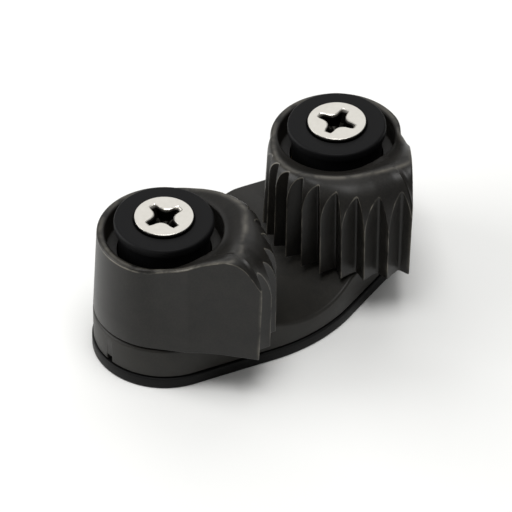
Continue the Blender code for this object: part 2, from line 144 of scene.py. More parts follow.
def arc(centre, radius, start, end, steps):
    angles = np.linspace(start, end, steps + 1)
    return [Vector((centre[0] + radius * math.cos(a), centre[1] + radius * math.sin(a)))
            for a in angles]


def finish_piece(name, mesh, place=(0.0, 0.0, 0.0), sharp=40.0):
    """Shade a mesh smooth up to an angle and put it into the scene."""
    mesh.shade_smooth()
    mesh.set_sharp_from_angle(angle=math.radians(sharp))
    piece = bpy.data.objects.new(name, mesh)
    piece.location = place
    bpy.context.scene.collection.objects.link(piece)
    return piece


def mesh_of(name, bm):
    bmesh.ops.recalc_face_normals(bm, faces=bm.faces)
    mesh = bpy.data.meshes.new(name)
    bm.to_mesh(mesh)
    bm.free()
    return mesh


def skin(name, loops, ring=True, caps=False):
    """Faces between neighbouring loops; ring joins the last loop to the first one."""
    bm = bmesh.new()
    rows = [[bm.verts.new(point) for point in loop] for loop in loops]
    follow = rows[1:] + rows[:1] if ring else rows[1:]
    for here, there in zip(rows, follow):
        for k in range(len(here)):
            nxt = (k + 1) % len(here)
            bm.faces.new((here[k], here[nxt], there[nxt], there[k]))
    if caps:
        bm.faces.new(rows[0][::-1])
        bm.faces.new(rows[-1])
    return mesh_of(name, bm)


def turned(name, profile, steps=96):
    """Turn a closed profile of (radius, height) points about the axis."""
    loops = []
    for angle in np.linspace(0, math.tau, steps, endpoint=False):
        loops.append([(p[0] * math.cos(angle), p[0] * math.sin(angle), p[1]) for p in profile])
    return skin(name, loops)


def prism(name, outline, low, high):
    return skin(name, [[(p[0], p[1], z) for p in outline] for z in (low, high)], False, True)


def cut_away(piece, cutters):
    """Subtract meshes from a piece for good, with the exact solver."""
    for cutter_mesh in cutters:
        cutter = bpy.data.objects.new("cutter", cutter_mesh)
        cutter.location = piece.location
        bpy.context.scene.collection.objects.link(cutter)
        boolean = piece.modifiers.new("cut", "BOOLEAN")
        boolean.solver = "EXACT"
        boolean.object = cutter
        bpy.context.view_layer.update()
        ready = piece.evaluated_get(bpy.context.evaluated_depsgraph_get())
        piece.data = bpy.data.meshes.new_from_object(ready)
        piece.modifiers.clear()
        bpy.data.objects.remove(cutter)


def hang(piece, body, slot, *nodes):
    """Tie a finished piece to its moving body and hide the CAD nodes it replaces; slot is not used."""
    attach(piece, body)
    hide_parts(*nodes)
    size = [round(v / MM, 1) for v in piece.dimensions]
    print(f"{piece.name}: {len(piece.data.vertices)} points, {size} mm")


# %% [markdown]
# ## The deck
# The deck is one nylon moulding: a pointed oval with round ends, straight flanks and a
# softer curve in the middle of each side. A shallow trough runs across it where the rope
# slides. A boxy block with a bevel would lose the trough's soft edge, so the top is made
# from strips that cross the deck: each strip's height comes from its own place along the
# deck, and the rounded rim follows it down into the trough.

# %% Outline of the base
FLANK_ANGLE = math.radians(16.2)
FLANK_ROUND = 30.2 * MM
END_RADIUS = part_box("bottom_plate")[1].x - AXIS_X
FLANK_REACH = AXIS_X * math.sin(FLANK_ANGLE) + END_RADIUS
HALF_WIDTH = (FLANK_REACH - FLANK_ROUND * (1 - math.cos(FLANK_ANGLE))) / math.cos(FLANK_ANGLE)
LEAN = math.pi / 2 - FLANK_ANGLE


def upper_half(inset):
    """Points from the right tip over the +Y side to the left tip."""
    end = arc((AXIS_X, 0.0), END_RADIUS - inset, 0.0, LEAN, 30)
    middle = arc((0.0, HALF_WIDTH - FLANK_ROUND), FLANK_ROUND - inset, LEAN, math.pi / 2, 22)
    flank = [end[-1].lerp(middle[0], i / 18) for i in range(1, 18)]
    quarter = end + flank + middle
    return quarter + [Vector((-p.x, p.y)) for p in reversed(quarter[:-1])]


def outline(inset):
    upper = upper_half(inset)
    return upper + [Vector((p.x, -p.y)) for p in reversed(upper[1:-1])]


print(f"base is {2 * HALF_WIDTH / MM:.1f} mm wide, {len(outline(0))} points round")

# %% Deck and plate from rings and strips
PATH_WIDTH = 18.0 * MM
PATH_DEPTH = 2.0 * MM
PATH_RADIUS = ((PATH_WIDTH / 2) ** 2 + PATH_DEPTH ** 2) / (2 * PATH_DEPTH)
PATH_SOFTNESS = 0.25 * MM
DECK_INSET = 0.25 * MM
DECK_FOOT_EDGE = 0.15 * MM
DECK_RIM_EDGE = 0.55 * MM
PLATE_FOOT_EDGE = 0.1 * MM
PLATE_RIM_EDGE = 0.3 * MM


def trough(x):
    """How far the rope's trough lowers the deck at x, with a soft edge."""
    if abs(x) > PATH_WIDTH:
        return 0.0
    circle = PATH_RADIUS - PATH_DEPTH - math.sqrt(PATH_RADIUS ** 2 - x * x)
    return (circle - math.sqrt(circle ** 2 + PATH_SOFTNESS ** 2)) / 2


def slab(name, inset, low, high, foot, rim, hollow):
    """An oval slab with rounded edges; hollow(x) says how far its top sinks."""
    rows = [(p.x, low + p.y, 0.0) for p in arc((foot, foot), foot, -math.pi / 2, -math.pi, 3)]
    rows += [(rim - rim * math.cos(a), high - rim + rim * math.sin(a), 1.0)
             for a in np.linspace(0, math.pi / 2, 8)]
    bm = bmesh.new()
    rings = []
    for back, height, follows in rows:
        rings.append([bm.verts.new((p.x, p.y, height + follows * hollow(p.x)))
                      for p in outline(inset + back)])
    count = len(rings[0])
    bm.faces.new(rings[0][::-1])
    for lower, upper in zip(rings, rings[1:]):
        for k in range(count):
            nxt = (k + 1) % count
            bm.faces.new((lower[k], lower[nxt], upper[nxt], upper[k]))
    top = rings[-1]
    for k in range(count // 2):
        corners = [top[k], top[k + 1], top[(count - k - 1) % count], top[-k]]
        bm.faces.new(list(dict.fromkeys(corners)))
    return mesh_of(name, bm)


def round_cutter(place, radius, low, high, steps=64):
    return prism("cutter", arc(place, radius, 0.0, math.tau, steps)[:-1], low, high)


def box_cutter(x, y, z):
    corners = [(x[0], y[0]), (x[1], y[0]), (x[1], y[1]), (x[0], y[1])]
    return prism("cutter", corners, *z)


# %% [markdown]
# The hollows under the cams are cut out of the deck with the exact Boolean solver: a round
# pocket for each spring, a slot for the spring's lower leg, and the screw holes. Nobody sees
# the pockets, but the springs need the room. Two small notches at the ends of the deck let a
# blade in to prise the deck off its plate.

# %% Cut the deck and the plate
RACE_RADIUS = 7.99 * MM
SCREW_HOLE = 2.7 * MM
LEG_REACH = 9.7 * MM
WIRE_RADIUS = 0.55 * MM
GAP = 0.3 * MM
LEG_SLOT = WIRE_RADIUS + GAP
POCKET_FLOOR = POST_FOOT - GAP
NOTCH = 1.2 * MM
SPARE = 1.0 * MM

deck = finish_piece("deck_body", slab("deck_body", DECK_INSET, DECK_BOTTOM, DECK_TOP,
                                      DECK_FOOT_EDGE, DECK_RIM_EDGE, trough))
cutters = []
for side in SIDES.values():
    axis = (side * AXIS_X, 0.0)
    cutters.append(round_cutter(axis, RACE_RADIUS, POCKET_FLOOR, DECK_TOP + SPARE))
    cutters.append(round_cutter(axis, SCREW_HOLE, DECK_BOTTOM - SPARE, POCKET_FLOOR + SPARE))
    cutters.append(box_cutter((axis[0] - LEG_SLOT, axis[0] + LEG_SLOT), (0.0, LEG_REACH),
                              (POCKET_FLOOR, DECK_TOP + SPARE)))
    tip = side * (AXIS_X + END_RADIUS)
    cutters.append(box_cutter(sorted((tip - side * NOTCH, tip + side * NOTCH)),
                              (-NOTCH / 2, NOTCH / 2), (DECK_BOTTOM - SPARE, DECK_BOTTOM + NOTCH)))
cut_away(deck, cutters)
hang(deck, "base", "deck_nylon", "base_body")

plate = finish_piece("deck_plate", slab("deck_plate", 0.0, 0.0, PLATE_TOP,
                                        PLATE_FOOT_EDGE, PLATE_RIM_EDGE, lambda x: 0.0))
cut_away(plate, [round_cutter((side * AXIS_X, 0.0), SCREW_HOLE, -SPARE, PLATE_TOP + SPARE)
                 for side in SIDES.values()])
hang(plate, "base", "plate_nylon", "bottom_plate")

# %% [markdown]
# ## The cams
# Each cam is a ring round its post. Seen from above, its fluted side is a spiral: the teeth
# stand further from the post towards the nose, so as the rope drags a cam round, the gap
# closes. A straight wall runs from the hub to the nose on the other side. The top rolls down
# to the teeth like a shoulder, and a ridge climbs along the wall to a round corner at the
# nose.
#
# A sculpted mesh could look like this, but its flutes would never line up. A spiral and a
# table of stations do it exactly. At each angle the table says where the crest lies, how high
# it stands, how far the outer edge drops, how the wall leans, and how much of a flute's depth
# is left at the top.

# %% Outline of a cam
CAM_HEIGHT = 15.8 * MM
RECESS_RADIUS = 9.89 * MM
HUB_RADIUS = 12.09 * MM
WALL_LEAN = 0.8 * MM
SPIRAL_GROWTH = 0.287
TOOTH_START = math.radians(40.0)
BACK_ANGLE = math.radians(-142.0)
NOSE_ANGLE = math.radians(-83.6)
TOOTH_COUNT = 9
TOOTH_STEP = math.radians(10.3)
TOOTH_STEP_GROWTH = math.radians(0.15)
TOOTH_DEPTH = 2.9 * MM
NOSE_ROUND = 0.35 * MM
TIP_ROUND = 0.16 * MM
ROOT_ROUND = 0.4 * MM
SCOOP = 0.25 * MM
ROOT_PLACE = 0.2
NOSE_FLUTE_SHARE = 0.65
FULL_FLUTE = 4
LAST_FLUTE_SHARE = 0.8
WALL_POINTS = 64
HUB_POINTS = 84


def spiral(angle):
    return HUB_RADIUS * math.exp(SPIRAL_GROWTH * (TOOTH_START - angle))


def plain_radius(angle):
    """The outline without its flutes: back wall, spiral, then the round hub."""
    if angle < NOSE_ANGLE:
        return HUB_RADIUS / math.cos(angle - BACK_ANGLE)
    return spiral(min(angle, TOOTH_START))


def at(angle, radius):
    return Vector((radius * math.cos(angle), radius * math.sin(angle)))


def tooth_angle(k):
    return NOSE_ANGLE + k * TOOTH_STEP + k * k * TOOTH_STEP_GROWTH


def flute_depth(k):
    """The first flutes are shallow because the nose is thin, and so is the last one."""
    if k == TOOTH_COUNT - 1:
        return LAST_FLUTE_SHARE * TOOTH_DEPTH
    return TOOTH_DEPTH * between(NOSE_FLUTE_SHARE, 1.0, min(1.0, k / FULL_FLUTE))


def cam_outline():
    """Once round the cam, as (x, y, how near to a tooth's tip from 0 to 1)."""
    points = []
    nose = at(NOSE_ANGLE, plain_radius(NOSE_ANGLE))
    for share in np.linspace(0, 1, WALL_POINTS)[:-1]:
        point = at(BACK_ANGLE, HUB_RADIUS).lerp(nose, share)
        if (nose - point).length > NOSE_ROUND:
            points.append((point.x, point.y, 0.0))
    tips = [at(tooth_angle(k), spiral(tooth_angle(k))) for k in range(TOOTH_COUNT + 1)]
    before = points[-1]
    for k in range(TOOTH_COUNT):
        root_angle = between(tooth_angle(k), tooth_angle(k + 1), ROOT_PLACE)
        root = at(root_angle, spiral(root_angle) - flute_depth(k))
        tip, following = tips[k], tips[k + 1]
        tip_round = NOSE_ROUND if k == 0 else TIP_ROUND
        start = tip + (Vector(before[:2]) - tip).normalized() * tip_round
        end = tip + (root - tip).normalized() * tip_round
        for i, p in enumerate(bend(start, tip, end, 6)):
            points.append((p.x, p.y, 1 - abs(i - 3) / 4))
        scoop = root.lerp(following, 0.5)
        scoop -= scoop.normalized() * SCOOP
        near = root + (scoop - root).normalized() * ROOT_ROUND
        for share in (0.35, 0.7):
            p = end.lerp(root + (tip - root).normalized() * ROOT_ROUND, share)
            points.append((p.x, p.y, 0.0))
        points += [(p.x, p.y, 0.0)
                   for p in bend(root + (tip - root).normalized() * ROOT_ROUND, root, near, 5)]
        face = bend(near, scoop, following, 10)[1:-1]
        face = [p for p in face if (p - following).length > 1.2 * TIP_ROUND]
        points += [(p.x, p.y, 0.0) for p in face]
        before = points[-1]
    last = tooth_angle(TOOTH_COUNT)
    for share in np.linspace(0, 1, 14):
        angle = between(last, TOOTH_START, share)
        p = at(angle, spiral(angle))
        points.append((p.x, p.y, 1.0 if share == 0 else 0.0))
    for angle in np.linspace(TOOTH_START, BACK_ANGLE + math.tau, HUB_POINTS)[1:-1]:
        p = at(angle, HUB_RADIUS)
        points.append((p.x, p.y, 0.0))
    return points


print(f"{TOOTH_COUNT} flutes, {len(cam_outline())} points round a cam")

# %% Stations round the cam
# angle, crest place, crest rise, edge drop, wall lean
STATIONS = np.array((
    (-142.0, 0.55, 0.04, 0.06, -1.5, 1.0),
    (-120.0, 0.84, 0.32, -0.20, -0.5, 1.0),
    (-105.0, 0.94, 0.76, -0.52, 0.6, 1.0),
    (-95.0, 0.95, 1.00, -0.72, 1.0, 1.0),
    (-91.0, 0.84, 0.98, -0.60, 1.0, 1.0),
    (-88.0, 0.70, 0.93, -0.32, 1.0, 1.0),
    (-85.5, 0.58, 0.86, 0.30, 1.0, 1.0),
    (-83.6, 0.56, 0.90, 1.00, 0.9, 1.0),
    (-80.0, 0.55, 0.86, 1.00, 0.6, 1.0),
    (-70.0, 0.45, 0.62, 1.00, 0.3, 1.0),
    (-60.0, 0.40, 0.47, 0.96, 0.1, 1.0),
    (-38.0, 0.45, 0.36, 0.84, -0.3, 0.9),
    (-25.0, 0.60, 0.38, 0.80, -0.4, 0.7),
    (-10.0, 0.65, 0.265, 0.67, -0.55, 0.5),
    (8.0, 0.62, 0.16, 0.52, -0.75, 0.4),
    (26.0, 0.52, 0.075, 0.30, -0.97, 0.4),
    (45.0, 0.55, 0.04, 0.06, -1.0, 1.0),
    (200.0, 0.55, 0.04, 0.03, -1.0, 1.0),
    (218.0, 0.55, 0.04, 0.06, -1.5, 1.0),
))
RIM = CAM_FLOOR + CAM_HEIGHT
RIDGE_RISE = 5.1 * MM
BOWL_LIFT = 0.2
NOSE_DROP = 7.2 * MM
SHOULDER_POWER = 2.3
FINE_STEP = 0.25
CRISP_REACH = 7
SOFT_REACH = 30
NOSE_ZONE = 12.0
NOSE_FADE = 12.0


def smoothed(values, reach):
    """A weighted moving average over reach steps to both sides, all the way round."""
    window = np.hanning(2 * reach + 3)
    wrapped = np.pad(values, reach + 1, mode="wrap")
    return np.convolve(wrapped, window / window.sum(), mode="valid")


def soft_stations():
    """The table on a fine grid of angles: crisp near the nose, and well softened elsewhere."""
    grid = np.arange(STATIONS[0, 0], STATIONS[-1, 0], FINE_STEP)
    away = np.abs(grid - math.degrees(NOSE_ANGLE))
    share = np.clip((away - NOSE_ZONE) / NOSE_FADE, 0.0, 1.0)
    columns = []
    for column in STATIONS.T[1:]:
        values = np.interp(grid, STATIONS[:, 0], column)
        columns.append(between(smoothed(values, CRISP_REACH), smoothed(values, SOFT_REACH), share))
    return grid, columns


GRID, SOFT = soft_stations()


def station(angle):
    return [float(np.interp(math.degrees(angle), GRID, column)) for column in SOFT]


print("crest stands", round(station(math.radians(-95))[1], 2), "of the ridge at the wall")

# %% [markdown]
# The section of the cam at one angle is a closed loop in the plane through the axis: up the
# outside wall, over the shoulder to the crest, down the bowl to the recess round the cap,
# and down the bore with its two ball grooves. The flutes are cut straight down into this
# shoulder, which gives each one its pointed arch.

# %% Section of a cam
BALL_CIRCLE = 6.203 * MM
GROOVE = 1.7875 * MM
RECESS_FLOOR = UPPER_ROW + GROOVE
RACE_LAND = 0.8 * MM
EDGE_ROUND = 0.16 * MM
FLOOR_ROUND = 0.25 * MM
RECESS_ROUND = 0.35 * MM
RECESS_CHAMFER = 0.2 * MM
LEG_SLOT_TOP = KEEPER_LOW - 0.05 * MM
WALL_ROWS = 4
SHOULDER_ROWS = 22
BOWL_ROWS = 12
# Share and width of the crest's painted highlight, which also lowers its roughness.
CREST_HIGHLIGHT = 0.5
CREST_BAND = 0.7 * MM


def groove(row, side, steps=8):
    """The quarter of a ball groove that runs into the land between the two rows."""
    reach = math.acos((GROOVE - RACE_LAND) / GROOVE)
    points = arc((BALL_CIRCLE, row), GROOVE, 0.0, side * reach, steps)
    return points if side < 0 else points[::-1]


def crest_highlight(distance):
    """How strong the crest's painted highlight and extra gloss are at this distance from its top, from
    0 up to the crest's top share.
    """
    return CREST_HIGHLIGHT * max(0.0, 1 - distance / CREST_BAND)


def cam_section(angle, radius, tip, slotted):
    """Points (radius, height, edge) of the loop; edge marks the tips, outer top edges and crest that
    get a painted highlight and extra gloss.
    """
    place, rise, drop, lean, flute_share = station(angle)
    plain = plain_radius(angle)
    floor_r = radius - max(0.0, lean) * WALL_LEAN
    outer = plain + min(0.0, lean) * WALL_LEAN
    top_r = outer - flute_share * (plain - radius)
    full_crest = between(RECESS_RADIUS, outer, place)
    crest_r = min(full_crest, between(RECESS_RADIUS, top_r, 0.95))
    crest_z = RIM + rise * RIDGE_RISE
    inner_z = RIM + BOWL_LIFT * rise * RIDGE_RISE
    edge_z = RIM - drop * NOSE_DROP

    def height(r):
        if r <= full_crest:
            share = (r - RECESS_RADIUS) / (full_crest - RECESS_RADIUS)
            return between(inner_z, crest_z, share * share * (3 - 2 * share))
        share = min(1.0, (r - full_crest) / (outer - full_crest))
        fall = (1 - share ** SHOULDER_POWER) ** (1 / SHOULDER_POWER)
        return between(edge_z, crest_z, fall)

    corner = Vector((top_r, height(top_r)))
    foot = Vector((floor_r, CAM_FLOOR))
    wall = (corner - foot).normalized()
    loop = [(p.x, p.y, tip) for p in bend(foot + Vector((-FLOOR_ROUND, 0)), foot,
                                          foot + wall * FLOOR_ROUND, 3)]
    start = foot + wall * FLOOR_ROUND
    end = corner - wall * EDGE_ROUND
    for i in range(1, WALL_ROWS):
        p = start.lerp(end, i / WALL_ROWS)
        loop.append((p.x, p.y, tip))
    shares = 1 - np.cos(np.linspace(0, math.pi / 2, SHOULDER_ROWS))
    shoulder = [Vector((between(top_r, crest_r, s), height(between(top_r, crest_r, s))))
                for s in shares]
    kept = [p for p in shoulder[:-1] if (p - corner).length > EDGE_ROUND] + shoulder[-1:]
    missing = SHOULDER_ROWS - len(kept)
    # The outer top edge and the crest carry edge values for the painted highlight.
    loop += [(p.x, p.y, 1.0 if 0 < i < 3 + missing else tip)
             for i, p in enumerate(bend(end, corner, kept[0], 3 + missing))]
    loop += [(p.x, p.y, crest_highlight(p.x - crest_r)) for p in kept[1:]]
    for share in np.linspace(0, 1, BOWL_ROWS)[1:-1]:
        r = between(crest_r, RECESS_RADIUS + RECESS_ROUND, share)
        loop.append((r, height(r), crest_highlight(crest_r - r)))
    rim = Vector((RECESS_RADIUS, inner_z))
    before = Vector((RECESS_RADIUS + RECESS_ROUND, height(RECESS_RADIUS + RECESS_ROUND)))
    loop += [(p.x, p.y, 0.0) for p in bend(before, rim, rim - Vector((0, RECESS_ROUND)), 4)]
    loop += [(RECESS_RADIUS, RECESS_FLOOR + RECESS_CHAMFER, 0.0),
             (RECESS_RADIUS - RECESS_CHAMFER, RECESS_FLOOR, 0.0),
             (RACE_RADIUS, RECESS_FLOOR, 0.0)]
    loop += [(p.x, p.y, 0.0) for p in groove(UPPER_ROW, -1) + groove(LOWER_ROW, 1)]
    middle = (CAM_FLOOR + LEG_SLOT_TOP) / 2
    loop.append((RACE_RADIUS, LEG_SLOT_TOP, 0.0))
    if slotted:
        loop += [(LEG_REACH, LEG_SLOT_TOP, 0.0), (LEG_REACH, middle, 0.0)]
    else:
        loop += [(RACE_RADIUS, middle, 0.0), (RACE_RADIUS, CAM_FLOOR, 0.0)]
    loop.append((LEG_REACH, CAM_FLOOR, 0.0))
    return loop


# %% [markdown]
# The right cam is the left one in a mirror, so the same sections are used with x turned
# round. A value called *edge* rides along with each point. The nylon's material reads it to
# paint a lighter highlight on tips and rims, and to make them glossier.

# %% Make both cams


def make_cam(name, side):
    columns = []
    edges = []
    for x, y, tip in cam_outline():
        angle = math.atan2(y, x)
        if angle < BACK_ANGLE - 1e-6:
            angle += math.tau
        slotted = abs(angle - math.pi) * RACE_RADIUS < LEG_SLOT
        loop = cam_section(angle, math.hypot(x, y), tip, slotted)
        columns.append([(-side * r * math.cos(angle), r * math.sin(angle), z)
                        for r, z, _ in loop])
        edges += [edge for _, _, edge in loop]
    mesh = skin(name, columns)
    layer = mesh.attributes.new("edge", "FLOAT", "POINT")
    layer.data.foreach_set("value", edges)
    return finish_piece(name, mesh, AXES["left" if side < 0 else "right"], sharp=50.0)


cams = {}
for name, side in SIDES.items():
    cams[name] = make_cam("cam_jaw_" + name, side)
    hang(cams[name], name + "_cam", "cam_nylon", name + "_cam")

# %% [markdown]
# ## The posts
# Each cam turns round a fixed post with a broad cap that keeps the cam down. The posts are
# turned shapes, so one profile is enough: a plain foot, the inner half of each ball groove,
# a boss under the cap, the cap with its soft edge, and the cone that the screw head sits in.

# %% Make the posts
CAP_RADIUS = 8.39 * MM
CAP_THICKNESS = 1.6 * MM
CAP_UNDER = CAP_TOP - CAP_THICKNESS
POST_RADIUS = 5.215 * MM
BOSS_RADIUS = RACE_RADIUS - GAP
HEAD_SLOPE = math.radians(41.0)
SINK_RADIUS = 5.25 * MM
SOFT_EDGE = 0.55 * MM
LOW_EDGE = 0.3 * MM
SINK_EDGE = 0.12 * MM


def post_profile():
    reach = math.acos((GROOVE - RACE_LAND) / GROOVE)
    points = [Vector((SCREW_HOLE, POST_FOOT)), Vector((POST_RADIUS, POST_FOOT))]
    for row in (LOWER_ROW, UPPER_ROW):
        points += arc((BALL_CIRCLE, row), GROOVE, math.pi + reach, math.pi - reach, 12)
    boss_z = UPPER_ROW + GROOVE
    sink_floor = CAP_TOP - (SINK_RADIUS - SCREW_HOLE) / math.tan(HEAD_SLOPE)
    points += rounded([
        (POST_RADIUS, boss_z, 0),
        (BOSS_RADIUS, boss_z, 0),
        (BOSS_RADIUS, CAP_UNDER, 0),
        (CAP_RADIUS, CAP_UNDER, LOW_EDGE),
        (CAP_RADIUS, CAP_TOP, SOFT_EDGE),
        (SINK_RADIUS, CAP_TOP, SINK_EDGE),
        (SCREW_HOLE, sink_floor, 0),
    ], closed=False)
    return points


for name in SIDES:
    post = finish_piece("bearing_post_" + name, turned("bearing_post", post_profile(), 128),
                        AXES[name])
    hang(post, "base", "hub_acetal", name + "_hub")

# %% [markdown]
# ## The screws
# The screws are stainless, with a countersunk head and a cross recess. The recess is
# pressed in with a punch: four tapering wings with round hollows between them and a pit in
# the middle. It is cut with a tapering cross that flares a little at the top, because the
# punch leaves a soft lip. The thread is a real helix: each point's radius depends on its
# height and on the angle.

# %% Make the screws
SHANK_RADIUS = 2.4 * MM
HEAD_RADIUS = 4.95 * MM
HEAD_RIM = 0.4 * MM
HEAD_EDGE = 0.12 * MM
CONE_EDGE = 0.06 * MM
NECK_EDGE = 0.3 * MM
FLAT_SHARE = 0.93
END_SHARE = 0.8
PITCH = 0.8 * MM
ROWS_PER_TURN = 8
THREAD_DEPTH = 0.4 * MM
THREAD_TOP = SCREW_END + 15.0 * MM
WING_REACH = 3.45 * MM
WING_HALF = 0.62 * MM
WING_CORNER = 0.15 * MM
WING_TAPER = 0.85
HOLLOW_REACH = 2.75 * MM
HOLLOW_CORNER = 1.15
RECESS_DEPTH = 2.1 * MM
LIP = 0.09 * MM
CROSS_TURNS = {"left": math.radians(-4.0), "right": math.radians(22.0)}
SCREW_STEPS = 72


def thread_radius(z, angle):
    """A triangular thread that fades in at the end and out at the plain shank."""
    phase = (z / PITCH - angle / math.tau) % 1.0
    groove_share = abs(2 * phase - 1)
    fade = min(1.0, (THREAD_TOP - z) / PITCH, 0.35 + (z - SCREW_END) / PITCH)
    return SHANK_RADIUS - THREAD_DEPTH * groove_share * max(0.0, fade)


def screw_mesh():
    angles = np.linspace(0, math.tau, SCREW_STEPS, endpoint=False)
    end_radius = END_SHARE * SHANK_RADIUS
    rings = [[(end_radius * math.cos(a), end_radius * math.sin(a), SCREW_END) for a in angles]]
    rows = int(round((THREAD_TOP - SCREW_END) / PITCH * ROWS_PER_TURN))
    for i in range(1, rows + 1):
        z = between(SCREW_END, THREAD_TOP, i / rows)
        rings.append([(thread_radius(z, a) * math.cos(a), thread_radius(z, a) * math.sin(a), z)
                      for a in angles])
    cone_z = HEAD_TOP - HEAD_RIM
    neck_z = cone_z - (HEAD_RADIUS - SHANK_RADIUS) / math.tan(HEAD_SLOPE)
    head = rounded([(SHANK_RADIUS, THREAD_TOP, 0), (SHANK_RADIUS, neck_z, NECK_EDGE),
                    (HEAD_RADIUS, cone_z, CONE_EDGE), (HEAD_RADIUS, HEAD_TOP, HEAD_EDGE),
                    (FLAT_SHARE * HEAD_RADIUS, HEAD_TOP, 0)], closed=False, steps=4)[1:]
    rings += [[(p.x * math.cos(a), p.x * math.sin(a), p.y) for a in angles] for p in head]
    return skin("screw", rings, ring=False, caps=True)


def cross(grow):
    """The recess in plan, each side moved out by grow: four wings with round hollows."""
    half = WING_HALF + grow
    near = HOLLOW_CORNER * half
    far = HOLLOW_REACH + grow
    tip = WING_REACH + grow
    points = []
    for quarter in range(4):
        turn = Matrix.Rotation(quarter * math.pi / 2, 2)
        wing = rounded([(far, -near, 0), (tip, -WING_TAPER * half, WING_CORNER),
                        (tip, WING_TAPER * half, WING_CORNER), (far, near, 0)],
                       closed=False, steps=3)[1:]
        hollow = bend(Vector((far, near)), Vector((near, near)), Vector((near, far)), 8)[1:-1]
        points += [turn @ p for p in wing + hollow + [Vector((near, far))]]
    return points


def recess_cutter(turn):
    """Stacked crosses: a pit below, tapering wings, and the flared lip at the top.

    A layer is how wide the cross is there, its depth, and how far its sides move out.
    """
    layers = [(0.10, -1.45 * RECESS_DEPTH, 0.0), (0.34, -1.15 * RECESS_DEPTH, 0.0),
              (0.62, -RECESS_DEPTH, 0.0), (0.97, -LIP, 0.0), (1.0, 0.0, LIP),
              (1.0, SPARE, 0.8 * LIP + SPARE * 0.1)]
    spin = Matrix.Rotation(turn, 2)
    loops = []
    for share, depth, grow in layers:
        loops.append([(*(spin @ p * share), HEAD_TOP + depth) for p in cross(grow)])
    return skin("cutter", loops, ring=False, caps=True)


for name in SIDES:
    screw = finish_piece("screw_" + name, screw_mesh(), AXES[name])
    cut_away(screw, [recess_cutter(CROSS_TURNS[name])])
    screw.data.set_sharp_from_angle(angle=math.radians(18.0))
    hang(screw, "base", "screw_stainless", name + "_screw")

# %% [markdown]
# ## The bearings
# Two rows of balls run between each post and its cam, so the cam turns freely under a hard
# pull. The balls of one cam roll round together, and they move as one body. Nobody sees them
# in the finished cleat, so a moderate number of faces per ball is enough. A thin washer
# carries the lower row above the spring.

# %% Balls and washers
BALL_RADIUS = 1.5875 * MM
BALL_COUNT = 11
WASHER_EDGE = 0.12 * MM

for name in SIDES:
    bm = bmesh.new()
    nodes = []
    for row, z in (("lower", LOWER_ROW), ("upper", UPPER_ROW)):
        for k in range(BALL_COUNT):
            angle = math.tau * k / BALL_COUNT
            centre = (*at(angle, BALL_CIRCLE), z)
            bmesh.ops.create_icosphere(bm, subdivisions=3, radius=BALL_RADIUS,
                                       matrix=Matrix.Translation(centre))
            nodes.append(f"{name}_{row}_ball_{k + 1:02d}")
    balls = finish_piece("bearing_balls_" + name, mesh_of("balls", bm), AXES[name])
    hang(balls, name + "_balls", "ball_plastic", *nodes)
    inner = POST_RADIUS + GAP
    outer = RACE_RADIUS - GAP
    ring = rounded([(inner, KEEPER_LOW, WASHER_EDGE), (outer, KEEPER_LOW, WASHER_EDGE),
                    (outer, KEEPER_HIGH, WASHER_EDGE), (inner, KEEPER_HIGH, WASHER_EDGE)],
                   steps=3)
    washer = finish_piece("ball_washer_" + name, turned("ball_washer", ring), AXES[name])
    hang(washer, "base", "keeper_acetal", name + "_ball_keeper")

# %% [markdown]
# ## The springs
# A torsion spring lies in the pocket under each cam. Its lower leg is held by the deck and
# its upper leg by the cam, and the coil between them twists. Here each spring is one rigid
# wire in its rest shape, and it is not tied to either body.

# %% Make the springs
SPRING_RADIUS = 6.205 * MM
SPRING_TURNS = 2.75
LEG_END = 9.4 * MM
LEG_BEND = 0.9 * MM
STEPS_PER_TURN = 40
SPRING_LOW = POST_FOOT + WIRE_RADIUS
SPRING_HIGH = CAM_FLOOR + WIRE_RADIUS + GAP / 2


def spring_path(side):
    start = math.pi / 2
    end = start + side * SPRING_TURNS * math.tau
    steps = round(SPRING_TURNS * STEPS_PER_TURN)
    coil = []
    for i in range(steps + 1):
        share = i / steps
        flat = at(between(start, end, share), SPRING_RADIUS)
        coil.append(Vector((*flat, between(SPRING_LOW, SPRING_HIGH, share))))
    path = []
    for corner, first, angle in ((coil[0], coil[1], start), (coil[-1], coil[-2], end)):
        outward = Vector((*at(angle, 1.0), 0.0))
        along = (first - corner).normalized()
        tip = corner + outward * (LEG_END - SPRING_RADIUS)
        leg = [tip] + bend(corner + outward * LEG_BEND, corner, corner + along * LEG_BEND, 6)
        path.append(leg)
    return path[0] + coil[2:-2] + path[1][::-1]


def tube(name, path, radius, sides=14):
    """A round wire along a path that never runs straight up."""
    loops = []
    for i, point in enumerate(path):
        ahead = path[min(i + 1, len(path) - 1)] - path[max(i - 1, 0)]
        across = ahead.cross(Vector((0, 0, 1))).normalized()
        up = across.cross(ahead).normalized()
        loops.append([point + radius * (across * math.cos(a) + up * math.sin(a))
                      for a in np.linspace(0, math.tau, sides, endpoint=False)])
    return skin(name, loops, ring=False, caps=True)


springs = {}
for name, side in SIDES.items():
    spring = finish_piece("spring_" + name, tube("spring", spring_path(side), WIRE_RADIUS),
                          AXES[name])
    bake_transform(spring)
    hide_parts(name + "_spring")
    springs[name] = spring
    print(f"{spring.name}: {len(spring.data.vertices)} points")

# %% [markdown]
# ## Tools for finishes
# Blender's shaders work in linear light, and a colour picked from a screen is sRGB, so one
# function turns the hex value round. A second one adds any node with its settings and its
# links. Patterns use the object's own coordinates, in metres, so a noise whose features
# should be 0.2 mm across gets a scale of 1 / 0.0002.

# %% Finish tools


def linear(hex_value):
    """An sRGB hex colour as linear red, green, blue and alpha."""
    channels = [int(hex_value[i:i + 2], 16) / 255 for i in (1, 3, 5)]
    return [c / 12.92 if c <= 0.04045 else ((c + 0.055) / 1.055) ** 2.4 for c in channels] + [1]


